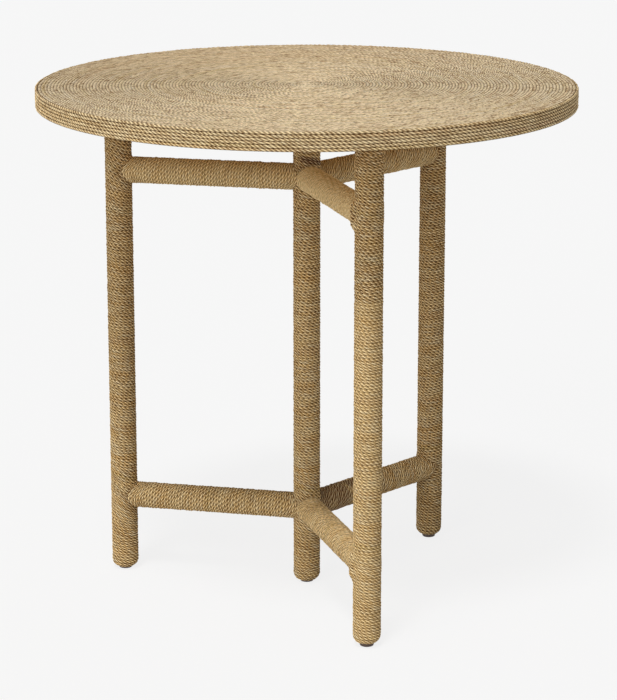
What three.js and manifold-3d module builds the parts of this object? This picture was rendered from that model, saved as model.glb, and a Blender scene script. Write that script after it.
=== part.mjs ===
// A round occasional table whose dowel frame and disc top are wound with twisted grass cord.
// Millimetres, +Z up. The origin is on the floor under the centre post, and the front leg stands
// on the -Y side. A centre post and three legs carry the disc, and three stretchers at each of two
// heights run out from the post to the legs.

import * as THREE from 'three';
import { mergeVertices } from 'three/addons/utils/BufferGeometryUtils.js';
import Module from 'manifold-3d';

const wasm = await Module();
wasm.setup();

// Overall sizes
const tableHeight = 738;
const topDiameter = 762;

// Clearances and cuts
const seatGap = 0.3;
const cutOverrun = 2;

// Cord: its diameter, and the free space between one turn of the top and the next
const cordDiameter = 4.4;
const turnGap = 0.05;
// Thickness of the layer that the turns make on a dowel
const woundLayer = 4.2;

// Top: the panel's thickness, and how many of the outer rows are laid as turns of cord
const panelThickness = 22;
const spiralRows = 13;
// Steps in one turn, and the steps in which the cord passes over to the next row
const stepsPerTurn = 36;
const climbSteps = 3;
const cordSides = 6;
// Where the cord has passed over to the next row, at the back of the table
const rowStartAngle = THREE.MathUtils.degToRad(90);

// Frame: all posts and stretchers are cut from one dowel stock
const dowelDiameter = 32;
const dowelSides = 24;
// From the edge of the top in to the legs' centre lines
const legInset = 103.5;
// Centre lines of the stretchers: the lower ones over the floor, the upper ones under the table's top
const lowerStretcherHeight = 115;
const upperStretcherDepth = 134;

// Joints: a tenon goes through a share of the leg, and the mortises in the centre post stop short of
// each other by a web of wood
const tenonDiameter = 14;
const tenonSides = 12;
const legTenonShare = 0.62;
const mortiseWeb = 1.5;

// Feet: height of the lowest turn over the floor, and of the rounded end of the winding
const footLift = 4.5;
const footRounding = 12;
const footSteps = 3;

// Glides, driven into the foot of each post
const glideDiameter = 20;
const glideEdgeRound = 2;
const glideEdgeSteps = 2;
const glideSides = 16;
const glideStemDiameter = 3;
const glideStemLength = 16;
const glideTipLength = 2.5;

// Screws that hold the panel down on the posts
const screwDiameter = 4.5;
const screwHeadDiameter = 9;
const screwHeadHeight = 3;
const screwBite = 38;
const screwTipLength = 5;
const smallSides = 12;

// The legs by name, with the angle of each round the table
const legs = [
  { name: 'front', angle: THREE.MathUtils.degToRad(-90) },
  { name: 'left', angle: THREE.MathUtils.degToRad(150) },
  { name: 'right', angle: THREE.MathUtils.degToRad(30) },
];
const bayHalfAngle = Math.PI / legs.length;

// Sizes worked out from those above
const cordRadius = cordDiameter / 2;
const cordPitch = cordDiameter + turnGap;
const dowelRadius = dowelDiameter / 2;
const windingBore = dowelRadius + seatGap;
const windingRadius = windingBore + woundLayer;
const rimRadius = topDiameter / 2 - cordRadius;
const legCircleRadius = topDiameter / 2 - legInset;
const panelRadius = rimRadius - cordRadius - seatGap;
const panelTop = tableHeight - cordDiameter - seatGap;
const panelBottom = panelTop - panelThickness;
const postTop = panelBottom - seatGap;
const footCore = footLift + woundLayer + seatGap;
const glideRadius = glideDiameter / 2;
const footMouth = glideRadius + seatGap;
const footCentre = footLift + footRounding;
const tenonRadius = tenonDiameter / 2;
const mortiseRadius = tenonRadius + seatGap;
const stretcherLevels = { lower: lowerStretcherHeight, upper: tableHeight - upperStretcherDepth };
// Nearest that a mortise comes to the centre post's axis with the web left between neighbours
const centreMortiseEnd =
  (mortiseWeb / 2 + mortiseRadius * Math.cos(bayHalfAngle)) / Math.sin(bayHalfAngle);
const legTenonEnd = legCircleRadius - dowelRadius + dowelDiameter * legTenonShare;

// Finishes
const finishes = {
  cord: { color: 0xb89a68, roughness: 0.85, metalness: 0 },
  dowel: { color: 0xc9a67a, roughness: 0.7, metalness: 0 },
  panel: { color: 0xbf9a6c, roughness: 0.75, metalness: 0 },
  glide: { color: 0x4c3a32, roughness: 0.5, metalness: 0 },
  screw: { color: 0xb4b2aa, roughness: 0.4, metalness: 0.9 },
};

function piece(name, geometry, finish) {
  const mesh = new THREE.Mesh(geometry, new THREE.MeshStandardMaterial(finishes[finish]));
  mesh.name = name;
  return mesh;
}

// Solids for cutting and joining

function solidOf(geometry) {
  const bare = geometry.clone();
  bare.deleteAttribute('normal');
  bare.deleteAttribute('uv');
  const merged = mergeVertices(bare);
  return new wasm.Manifold(
    new wasm.Mesh({
      numProp: 3,
      vertProperties: Float32Array.from(merged.attributes.position.array),
      triVerts: Uint32Array.from(merged.index.array),
    }),
  );
}

function geometryOf(solid) {
  const mesh = solid.getMesh();
  const geometry = new THREE.BufferGeometry();
  geometry.setAttribute('position', new THREE.BufferAttribute(mesh.vertProperties, 3));
  geometry.setIndex(new THREE.BufferAttribute(mesh.triVerts, 1));
  geometry.computeVertexNormals();
  return geometry;
}

// A profile of [radius, height] points turned about the Z axis
function turned(profile, sides) {
  const points = profile.map(([radius, height]) => new THREE.Vector2(radius, height));
  return new THREE.LatheGeometry(points, sides).rotateX(Math.PI / 2);
}

function uprightRod(radius, low, high, sides) {
  return turned([[0, low], [radius, low], [radius, high], [0, high]], sides);
}

// The same rod lying along +X
function levelRod(radius, near, far, sides) {
  return uprightRod(radius, near, far, sides).rotateY(Math.PI / 2);
}

// Quarter of an ellipse about the foot's centre height, from the side of a post down to its mouth
function footCurve(sideRadius, bottom) {
  const points = [];
  for (let step = 0; step <= footSteps; step += 1) {
    const angle = (Math.PI / 2) * (step / footSteps);
    const radius = footMouth + (sideRadius - footMouth) * Math.cos(angle);
    const height = footCentre - (footCentre - bottom) * Math.sin(angle);
    points.push([radius, height]);
  }
  return points;
}

// Windings of the top

// Row that the cord is in after a number of steps: a whole number, but for the climb at the end of
// each turn, where the cord passes over to the next row.
function rowAt(step) {
  const turn = Math.floor(step / stepsPerTurn);
  const intoClimb = step - turn * stepsPerTurn - (stepsPerTurn - climbSteps);
  return turn + THREE.MathUtils.smoothstep(intoClimb, 0, climbSteps);
}

// Centre line of a winding of some rows. The place function gives the radius and the height of a
// row. Both ends run straight on for one diameter of the cord.
function windingLine(rows, place) {
  const points = [];
  const lastStep = rows * stepsPerTurn - climbSteps;
  for (let step = 0; step <= lastStep; step += 1) {
    const angle = rowStartAngle + (2 * Math.PI * step) / stepsPerTurn;
    const { radius, height } = place(rowAt(step));
    points.push(new THREE.Vector3(radius * Math.cos(angle), radius * Math.sin(angle), height));
  }
  points.unshift(straightEnd(points[0], -1));
  points.push(straightEnd(points[points.length - 1], 1));
  return points;
}

// The point one diameter on from the end of a winding, square to the radius there
function straightEnd(end, sense) {
  const along = new THREE.Vector3(-end.y, end.x, 0).normalize();
  return end.clone().addScaledVector(along, sense * cordDiameter);
}

// Corners of the cord's section at each point of its centre line, in the plane of the axis
function cordRings(line, sectionTurn) {
  const up = new THREE.Vector3(0, 0, 1);
  return line.map((point, index) => {
    const bend = line[Math.min(Math.max(index, 1), line.length - 2)];
    const out = new THREE.Vector3(bend.x, bend.y, 0).normalize();
    const ring = [];
    for (let side = 0; side < cordSides; side += 1) {
      const angle = sectionTurn + (2 * Math.PI * side) / cordSides;
      const corner = point.clone();
      corner.addScaledVector(out, cordRadius * Math.cos(angle));
      corner.addScaledVector(up, cordRadius * Math.sin(angle));
      ring.push(corner);
    }
    return ring;
  });
}

// One unbroken closed tube through the rings
function tubeOf(rings) {
  const positions = rings.flat().flatMap((corner) => corner.toArray());
  const faces = [];
  for (let ring = 0; ring + 1 < rings.length; ring += 1) {
    for (let side = 0; side < cordSides; side += 1) {
      const here = ring * cordSides + side;
      const beside = ring * cordSides + ((side + 1) % cordSides);
      faces.push(here, here + cordSides, beside);
      faces.push(beside, here + cordSides, beside + cordSides);
    }
  }
  const last = (rings.length - 1) * cordSides;
  for (let side = 1; side + 1 < cordSides; side += 1) {
    faces.push(0, side, side + 1);
    faces.push(last, last + side + 1, last + side);
  }
  const geometry = new THREE.BufferGeometry();
  geometry.setAttribute('position', new THREE.Float32BufferAttribute(positions, 3));
  geometry.setIndex(faces);
  geometry.computeVertexNormals();
  return geometry;
}

// Least distance between the points of one turn and those of the next
function leastTurnGap(rings) {
  let least = Infinity;
  for (let ring = 0; ring < rings.length; ring += 1) {
    for (let apart = stepsPerTurn - 1; apart <= stepsPerTurn + 1; apart += 1) {
      const other = rings[ring + apart] ?? [];
      for (const corner of other) {
        for (const own of rings[ring]) {
          least = Math.min(least, corner.distanceTo(own));
        }
      }
    }
  }
  return least;
}

function winding(name, rows, sectionTurn, place) {
  const rings = cordRings(windingLine(rows, place), sectionTurn);
  console.log(`${name}: ${rows} rows, least gap to itself ${leastTurnGap(rings).toFixed(2)} mm`);
  return piece(name, tubeOf(rings), 'cord');
}

// The rows round the edge of the panel, from the lowest up to the one level with the top
function rimWinding() {
  const bandHeight = panelThickness + seatGap;
  const rows = Math.floor(bandHeight / cordPitch) + 1;
  const topRow = tableHeight - cordRadius;
  return winding('rim_winding', rows, 0, (row) => ({
    radius: rimRadius,
    height: topRow - (rows - 1 - row) * cordPitch,
  }));
}

// The outer rows on the panel, from the edge inwards
function topWinding() {
  return winding('top_winding', spiralRows, Math.PI / cordSides, (row) => ({
    radius: rimRadius - (row + 1) * cordPitch,
    height: tableHeight - cordRadius,
  }));
}

// The rows inside them, as one flat disc of the cord's thickness
function topWindingCentre() {
  const radius = rimRadius - spiralRows * cordPitch - cordRadius - seatGap;
  const disc = uprightRod(radius, tableHeight - cordDiameter, tableHeight, stepsPerTurn);
  return piece('top_winding_centre', disc, 'cord');
}

// Top panel and its screws

// The screw's outline with a clearance all round it, from its tip up to the rim of its head
function screwOutline(clearance) {
  const shank = screwDiameter / 2 + clearance;
  const tip = postTop - screwBite - clearance;
  return [
    [0, tip],
    [shank, tip + screwTipLength],
    [shank, panelTop - screwHeadHeight - clearance],
    [screwHeadDiameter / 2 + clearance, panelTop],
  ];
}

function screw(name) {
  return piece(name, turned([...screwOutline(0), [0, panelTop]], smallSides), 'screw');
}

// The screw's room in the panel and the post, carried on past the panel's top face
function screwBore() {
  const mouth = screwHeadDiameter / 2 + seatGap;
  const above = panelTop + cutOverrun;
  return solidOf(turned([...screwOutline(seatGap), [mouth, above], [0, above]], smallSides));
}

function topPanel() {
  let panel = solidOf(uprightRod(panelRadius, panelBottom, panelTop, stepsPerTurn));
  for (const place of postPlaces()) {
    panel = panel.subtract(screwBore().translate(place.x, place.y, 0));
  }
  return piece('top_panel', geometryOf(panel), 'panel');
}

// Posts

function postPlaces() {
  const places = [{ name: 'centre', x: 0, y: 0 }];
  for (const leg of legs) {
    const x = legCircleRadius * Math.cos(leg.angle);
    const y = legCircleRadius * Math.sin(leg.angle);
    places.push({ name: leg.name, x, y });
  }
  return places;
}

function glideProfile() {
  const top = footCore - seatGap;
  const stem = glideStemDiameter / 2;
  const profile = [[0, 0]];
  for (let step = 0; step <= glideEdgeSteps; step += 1) {
    const angle = (Math.PI / 2) * (step / glideEdgeSteps);
    const radius = glideRadius - glideEdgeRound + glideEdgeRound * Math.sin(angle);
    profile.push([radius, glideEdgeRound * (1 - Math.cos(angle))]);
  }
  profile.push([glideRadius, top], [stem, top]);
  profile.push([stem, top + glideStemLength - glideTipLength], [0, top + glideStemLength]);
  return profile;
}

function glide(name) {
  return piece(name, turned(glideProfile(), glideSides), 'glide');
}

function stemBore() {
  const radius = glideStemDiameter / 2 + seatGap;
  return solidOf(uprightRod(radius, footCore - cutOverrun, footCore + glideStemLength, smallSides));
}

// The plain post: rounded at the foot, bored for the glide's stem and for the screw
function postBlank() {
  const foot = footCurve(dowelRadius, footCore).reverse();
  const profile = [[0, footCore], ...foot, [dowelRadius, postTop], [0, postTop]];
  const post = solidOf(turned(profile, dowelSides));
  return post.subtract(stemBore()).subtract(screwBore());
}

// A mortise along +X, from the depth that it ends at out through the side of the post
function mortise(from, to, height) {
  return solidOf(levelRod(mortiseRadius, from, to, tenonSides)).translate(0, 0, height);
}

function turnedToLeg(solid, leg) {
  return solid.rotate(0, 0, THREE.MathUtils.radToDeg(leg.angle));
}

function centrePost() {
  let post = postBlank();
  for (const height of Object.values(stretcherLevels)) {
    for (const leg of legs) {
      const cutter = mortise(centreMortiseEnd, dowelRadius + cutOverrun, height);
      post = post.subtract(turnedToLeg(cutter, leg));
    }
  }
  return piece('centre_post', geometryOf(post), 'dowel');
}

function legPost(leg) {
  let post = postBlank();
  const depth = legTenonEnd - legCircleRadius + seatGap;
  for (const height of Object.values(stretcherLevels)) {
    const cutter = mortise(-dowelRadius - cutOverrun, depth, height);
    post = post.subtract(turnedToLeg(cutter, leg));
  }
  return piece(`${leg.name}_leg`, geometryOf(post), 'dowel');
}

// The layer of turns on a post, rounded in to the glide at the foot
function postSleeve() {
  const inner = footCurve(windingBore, footLift + woundLayer);
  const outer = footCurve(windingRadius, footLift).reverse();
  const profile = [[windingBore, postTop], ...inner, ...outer, [windingRadius, postTop]];
  profile.push([windingBore, postTop]);
  return solidOf(turned(profile, dowelSides));
}

// Room for a stretcher's dowel through the layer of turns, on the +X side
function dowelPassage(height) {
  const far = windingRadius + cutOverrun;
  return solidOf(levelRod(windingBore, 0, far, dowelSides)).translate(0, 0, height);
}

function centrePostWinding() {
  let sleeve = postSleeve();
  for (const height of Object.values(stretcherLevels)) {
    for (const leg of legs) {
      sleeve = sleeve.subtract(turnedToLeg(dowelPassage(height), leg));
    }
  }
  return piece('centre_post_winding', geometryOf(sleeve), 'cord');
}

function legWinding(leg) {
  let sleeve = postSleeve();
  for (const height of Object.values(stretcherLevels)) {
    const towardsCentre = dowelPassage(height).rotate(0, 0, 180);
    sleeve = sleeve.subtract(turnedToLeg(towardsCentre, leg));
  }
  return piece(`${leg.name}_leg_winding`, geometryOf(sleeve), 'cord');
}

// Stretchers, made along +X from the table's axis and turned to their leg

// The space of one bay about +X, half a clearance inside the planes that it shares with its
// neighbours, in which shoulders are mitred
function bayWedge() {
  const apex = seatGap / 2 / Math.sin(bayHalfAngle);
  const reach = legCircleRadius + dowelDiameter;
  const spread = (reach - apex) * Math.tan(bayHalfAngle);
  const outline = new THREE.Shape();
  outline.moveTo(apex, 0);
  outline.lineTo(reach, -spread);
  outline.lineTo(reach, spread);
  outline.closePath();
  const depth = 2 * (windingRadius + cutOverrun);
  const wedge = new THREE.ExtrudeGeometry(outline, { depth, bevelEnabled: false });
  return solidOf(wedge.translate(0, 0, -depth / 2));
}

// A length cut to fit round uprights of a radius at both of its ends
function coped(solid, uprightRadius) {
  const reach = windingRadius + cutOverrun;
  const upright = solidOf(uprightRod(uprightRadius, -reach, reach, dowelSides));
  return solid
    .subtract(upright)
    .subtract(upright.translate(legCircleRadius, 0, 0))
    .intersect(bayWedge());
}

function stretcher(level, leg) {
  const dowel = solidOf(levelRod(dowelRadius, 0, legCircleRadius, dowelSides));
  const tenonStart = centreMortiseEnd + seatGap;
  const tenons = solidOf(levelRod(tenonRadius, tenonStart, legTenonEnd, tenonSides));
  const body = coped(dowel, dowelRadius + seatGap).add(tenons);
  return piece(`${level}_stretcher_${leg.name}`, geometryOf(body), 'dowel');
}

function stretcherWinding(level, leg) {
  const outer = solidOf(levelRod(windingRadius, 0, legCircleRadius, dowelSides));
  const past = legCircleRadius + cutOverrun;
  const bore = solidOf(levelRod(windingBore, -cutOverrun, past, dowelSides));
  const sleeve = coped(outer.subtract(bore), windingRadius + seatGap);
  return piece(`${level}_stretcher_${leg.name}_winding`, geometryOf(sleeve), 'cord');
}

// Assembly

const table = new THREE.Group();
table.add(topPanel(), rimWinding(), topWinding(), topWindingCentre());

for (const place of postPlaces()) {
  const fittings = new THREE.Group();
  fittings.position.set(place.x, place.y, 0);
  fittings.add(screw(`top_screw_${place.name}`), glide(`${place.name}_glide`));
  table.add(fittings);
}

table.add(centrePost(), centrePostWinding());

for (const leg of legs) {
  const corner = new THREE.Group();
  corner.position.set(
    legCircleRadius * Math.cos(leg.angle),
    legCircleRadius * Math.sin(leg.angle),
    0,
  );
  corner.add(legPost(leg), legWinding(leg));
  table.add(corner);
}

for (const [level, height] of Object.entries(stretcherLevels)) {
  for (const leg of legs) {
    const run = new THREE.Group();
    run.position.set(0, 0, height);
    run.rotation.set(0, 0, leg.angle);
    run.add(stretcher(level, leg), stretcherWinding(level, leg));
    table.add(run);
  }
}

export default table;
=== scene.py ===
"""A round occasional table, its dowel frame and disc top wound with twisted grass cord.

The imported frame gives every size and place. This script lays the cord over it, turn by turn, and
dresses the wood, the glides and the screws. Metres, +Z up, with the origin on the floor under the
centre post and the front leg on the -Y side.
"""

import logging
import math
from dataclasses import dataclass, field, replace
from enum import Enum
from typing import Any, Optional, Union

import bpy
from mathutils import Euler, Matrix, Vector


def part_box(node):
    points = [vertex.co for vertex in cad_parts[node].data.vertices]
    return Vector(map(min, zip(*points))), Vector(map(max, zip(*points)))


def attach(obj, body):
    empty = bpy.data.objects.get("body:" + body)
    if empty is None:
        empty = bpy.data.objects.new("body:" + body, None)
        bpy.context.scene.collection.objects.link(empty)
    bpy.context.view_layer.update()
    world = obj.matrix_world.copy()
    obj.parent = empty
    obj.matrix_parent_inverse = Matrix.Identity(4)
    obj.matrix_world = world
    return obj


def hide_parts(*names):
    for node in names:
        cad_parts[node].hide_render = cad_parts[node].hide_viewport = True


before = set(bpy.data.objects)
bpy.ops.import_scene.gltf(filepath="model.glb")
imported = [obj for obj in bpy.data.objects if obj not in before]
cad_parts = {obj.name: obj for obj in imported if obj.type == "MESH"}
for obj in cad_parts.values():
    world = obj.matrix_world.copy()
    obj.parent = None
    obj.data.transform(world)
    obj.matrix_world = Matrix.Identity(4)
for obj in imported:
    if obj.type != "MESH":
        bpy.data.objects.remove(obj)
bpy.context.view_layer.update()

LOG = logging.getLogger("table")
BODY = "root"
LEG_NAMES = ("front", "left", "right")
STRETCHER_LEVELS = ("lower", "upper")

# Where every winding has its seam: at the back, where the top's cord steps over to its next row
SEAM_ANGLE = math.radians(90)
# Map that the cord's own pattern is read from: strands passed along the cord, and rows across it
CORD_MAP = "cord"
BAKE_MAP = "OFBake"
# Attribute that darkens the cord where it was handled or soaked
STAIN = "stain"
# Attribute for how pale a piece's length of cord is, or how brown where it is under zero
# It also carries painted light on the rails, and painted shade in the creases and at the top's back
TONE = "tone"
# Corners that are nearer than this, as at a seam, become one
WELD_DISTANCE = 3e-5
# Share of a turn in which the cord steps over to the next row near the table's edge
CLIMB_SHARE = 1 / 12


class Slot(Enum):
    """Material slots."""

    CORD = "cord"
    PANEL = "panel"
    DOWEL = "dowel"
    GLIDE = "glide"
    SCREW = "screw"


class TurnOrder(Enum):
    """Where the next turn of a winding lies, for someone who sees the cord run to the right.

    The same twist slopes the other way in a map that counts its turns downwards.
    """

    UPWARDS = 1.0
    DOWNWARDS = -1.0


@dataclass(frozen=True)
class Cord:
    """Two-strand cord as it lies in a winding.

    Attributes:
        width: Width and height of the cord, wider than its pitch as the turns press together.
        pitch: Distance from one row to the next.
        strand_length: Length of cord in which one strand follows on another.
        slant: Strands that a line straight across the cord passes, from edge to edge.
        roundness: How far the cord falls off towards its edges, from zero for flat to one.
        order: Which way the turns are counted.
        bow: How much flatter a strand lies at the cord's edges than at its middle.
        groove_depth: Depth of the groove between strands, as a share of the half width.
    """

    width: float
    pitch: float
    strand_length: float
    slant: float
    roundness: float
    order: TurnOrder
    bow: float = 0.3
    groove_depth: float = 0.45

    @property
    def half(self) -> float:
        """Half of the cord's width."""
        return self.width / 2

    @property
    def lean(self) -> float:
        """The slant, with its sign in a map that counts the turns."""
        return self.slant * self.order.value


# Node trees

Term = Union[float, "Wire"]


class Wire:
    """A number on its way from one node to others, with ordinary arithmetic."""

    def __init__(self, graph: "Graph", socket: bpy.types.NodeSocket) -> None:
        """Remembers the tree and the socket that the number comes from."""
        self.graph = graph
        self.socket = socket

    def __add__(self, other: Term) -> "Wire":
        """Sum of two numbers."""
        return self.graph.math("ADD", self, other)

    __radd__ = __add__

    def __sub__(self, other: Term) -> "Wire":
        """Difference of two numbers."""
        return self.graph.math("SUBTRACT", self, other)

    def __rsub__(self, other: Term) -> "Wire":
        """Difference, with this number taken away."""
        return self.graph.math("SUBTRACT", other, self)

    def __mul__(self, other: Term) -> "Wire":
        """Product of two numbers."""
        return self.graph.math("MULTIPLY", self, other)

    __rmul__ = __mul__

    def __truediv__(self, other: Term) -> "Wire":
        """Quotient of two numbers."""
        return self.graph.math("DIVIDE", self, other)

    def __neg__(self) -> "Wire":
        """The number with its sign changed."""
        return self.graph.math("MULTIPLY", self, -1.0)

    def sine(self) -> "Wire":
        """Sine of an angle."""
        return self.graph.math("SINE", self)

    def cosine(self) -> "Wire":
        """Cosine of an angle."""
        return self.graph.math("COSINE", self)

    def root(self) -> "Wire":
        """Square root, of zero where the number is negative."""
        return self.graph.math("SQRT", self.graph.math("MAXIMUM", self, 0.0))

    def size(self) -> "Wire":
        """The number without its sign."""
        return self.graph.math("ABSOLUTE", self)

    def floor(self) -> "Wire":
        """The whole number below."""
        return self.graph.math("FLOOR", self)

    def rounded(self) -> "Wire":
        """The nearest whole number."""
        return self.graph.math("ROUND", self)

    def fraction(self) -> "Wire":
        """What is left over the whole number below."""
        return self.graph.math("FRACT", self)

    def least(self, other: Term) -> "Wire":
        """The smaller of two numbers."""
        return self.graph.math("MINIMUM", self, other)

    def most(self, other: Term) -> "Wire":
        """The larger of two numbers."""
        return self.graph.math("MAXIMUM", self, other)

    def above(self, limit: Term) -> "Wire":
        """One where the number is over a limit, and otherwise zero."""
        return self.graph.math("GREATER_THAN", self, limit)

    def ramp(self, start: Term, end: Term) -> "Wire":
        """Smooth step from zero to one.

        Args:
            start: Where it leaves zero.
            end: Where it reaches one, which may be on either side of the start.

        Returns:
            Its height.
        """
        feeds = {"Value": self, "From Min": start, "From Max": end}
        node = self.graph.add("ShaderNodeMapRange", feeds, interpolation_type="SMOOTHSTEP")
        return Wire(self.graph, node.outputs[0])

    def mix(self, low: Term, high: Term) -> "Wire":
        """Blend from a low value where this is zero to a high one where it is one."""
        node = self.graph.add("ShaderNodeMix", {0: self, 2: low, 3: high}, data_type="FLOAT")
        return Wire(self.graph, node.outputs[0])


class Graph:
    """A node tree while it is wired, for geometry and for shaders alike."""

    def __init__(self, tree: bpy.types.NodeTree) -> None:
        """Starts on a tree."""
        self.tree = tree

    def feed(self, socket: bpy.types.NodeSocket, value: Any) -> None:
        """Links a wire or a socket to an input, or sets the input to a plain value.

        Args:
            socket: The input.
            value: What it gets.
        """
        if isinstance(value, Wire):
            self.tree.links.new(value.socket, socket)
        elif isinstance(value, bpy.types.NodeSocket):
            self.tree.links.new(value, socket)
        else:
            socket.default_value = value

    def add(self, kind: str, feeds: Optional[dict] = None, **options: Any) -> bpy.types.Node:
        """Adds a node.

        Args:
            kind: Blender's name for the type of node.
            feeds: What goes into its inputs, by name or number.
            options: The node's own settings.

        Returns:
            The new node.
        """
        node = self.tree.nodes.new(kind)
        for name, value in options.items():
            setattr(node, name, value)
        for key, value in (feeds or {}).items():
            self.feed(node.inputs[key], value)
        return node

    def math(self, operation: str, *terms: Term) -> Wire:
        """Result of one arithmetic step."""
        node = self.add("ShaderNodeMath", dict(enumerate(terms)), operation=operation)
        return Wire(self, node.outputs[0])

    def vector(self, x: Term, y: Term, z: Term = 0.0) -> bpy.types.NodeSocket:
        """Vector with the given parts."""
        return self.add("ShaderNodeCombineXYZ", {0: x, 1: y, 2: z}).outputs[0]

    def parts(self, vector: bpy.types.NodeSocket) -> tuple[Wire, Wire, Wire]:
        """The three parts of a vector."""
        outputs = self.add("ShaderNodeSeparateXYZ", {0: vector}).outputs
        return Wire(self, outputs[0]), Wire(self, outputs[1]), Wire(self, outputs[2])

    def noise(self, place: bpy.types.NodeSocket, scale: Term, detail: float = 1.0) -> Wire:
        """Smooth noise about one half, at a place."""
        feeds = {"Vector": place, "Scale": scale, "Detail": detail, "Roughness": 0.5}
        return Wire(self, self.add("ShaderNodeTexNoise", feeds).outputs[0])

    def dice(self, place: bpy.types.NodeSocket) -> Wire:
        """Even random number from zero to one, for a place."""
        node = self.add("ShaderNodeTexWhiteNoise", {"Vector": place}, noise_dimensions="3D")
        return Wire(self, node.outputs[0])

    def inputs(self, sockets: dict[str, str]) -> dict[str, Wire]:
        """Gives the tree its named inputs.

        Args:
            sockets: Kind of each input by its name, such as Float or Int.

        Returns:
            A wire from each input by its name.
        """
        for name, kind in sockets.items():
            kind_name = f"NodeSocket{kind}"
            self.tree.interface.new_socket(name=name, in_out="INPUT", socket_type=kind_name)
        node = self.tree.nodes.new("NodeGroupInput")
        return {name: Wire(self, node.outputs[name]) for name in sockets}

    def outputs(self, values: dict[str, tuple[str, Any]]) -> None:
        """Gives the tree its named outputs.

        Args:
            values: Kind of each output and what feeds it, by name.
        """
        for name, (kind, _) in values.items():
            kind_name = f"NodeSocket{kind}"
            self.tree.interface.new_socket(name=name, in_out="OUTPUT", socket_type=kind_name)
        node = self.tree.nodes.new("NodeGroupOutput")
        for name, (_, value) in values.items():
            self.feed(node.inputs[name], value)


def strand_number(strands: Wire, across: Wire, lean: Term, bow: Term) -> Wire:
    """Count of strands along the cord, whole in the groove between two of them.

    Args:
        strands: Place along the cord's middle, in strands that have crossed it.
        across: Place across the row, from minus one at its lower edge to one.
        lean: Strands that a line straight across the cord passes, from edge to edge.
        bow: How much flatter a strand lies at the cord's edges than at its middle.

    Returns:
        The count, which leans across the cord as its strands do.
    """
    bent = across * across * across * bow
    return strands + (across * (1.0 - bow) + bent) * (lean / 2) + 0.5


def strand_relief(number: Wire, across: Wire, roundness: Term, groove_depth: Term) -> Wire:
    """Height of the cord's surface over its middle, as a share of its half width.

    Args:
        number: Count of strands at the place.
        across: Place across the row, from minus one to one.
        roundness: How far the cord falls off towards its edges.
        groove_depth: Depth of the groove between strands.

    Returns:
        The height, with the grooves between the strands.
    """
    groove = ((number * (2 * math.pi)).cosine() + 1.0) * (groove_depth / 2)
    body = (1.0 - across * across * roundness).root()
    return body * (1.0 - groove)


# Windings

WINDING_INPUTS = {
    "Columns": "Int",
    "Rows": "Int",
    "Rows per Turn": "Int",
    "First Turn": "Float",
    "Seed": "Float",
    "Tone": "Float",
    "Material": "Material",
}


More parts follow.
